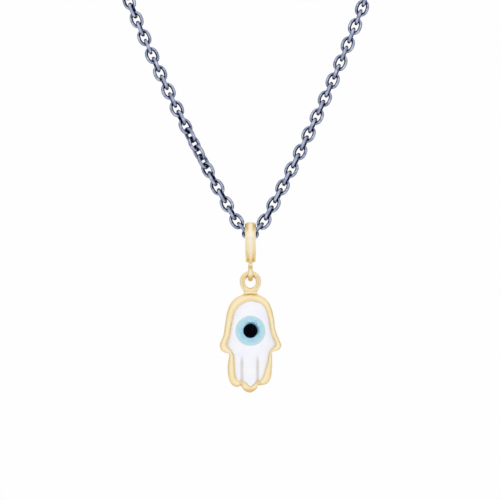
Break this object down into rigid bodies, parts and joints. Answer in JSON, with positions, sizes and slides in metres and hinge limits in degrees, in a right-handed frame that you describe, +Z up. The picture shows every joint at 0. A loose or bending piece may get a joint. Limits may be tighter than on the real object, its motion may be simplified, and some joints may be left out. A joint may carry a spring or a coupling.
{
  "type": "evil eye pendant necklace",
  "caption": "Evil eye hand pendant: glass set in a gold bezel with a soldered ring, hung on the loop of a long band bail from a closed cable chain.",
  "frame": {"origin": "middle of the clasp, where the necklace rests on the nape", "axes": "+Z up with the pendant hanging down, -Y towards the front that shows the eye, +X to the right of a viewer who faces the front"},
  "size_m": [0.1091, 0.1044, 0.1571],
  "materials": {
    "silver": "polished silver, darkened to blue grey in its recesses",
    "gold": "soft polish, hand formed",
    "white_glass": "opaque white glass, glossy",
    "blue_glass": "opaque pale blue glass, glossy",
    "black_glass": "opaque dark glass, glossy"
  },
  "bodies": {
    "chain": {"chain_left": "silver", "chain_right": "silver", "clasp": "silver"},
    "bail": {"bail": "gold"},
    "hand": {"hand_frame": "gold", "glass_hand": "white_glass", "iris": "blue_glass", "pupil": "black_glass"}
  },
  "joints": [
    {"name": "bail_swing", "type": "hinge", "parent": "chain", "child": "bail", "pos_m": [0.00257, -0.09881, -0.12553], "axis": [1, 0, 0], "range_deg": [-90, 90]},
    {"name": "hand_swing", "type": "hinge", "parent": "bail", "child": "hand", "pos_m": [0.00257, -0.09881, -0.13404], "axis": [0, 1, 0], "range_deg": [-75, 75]}
  ]
}
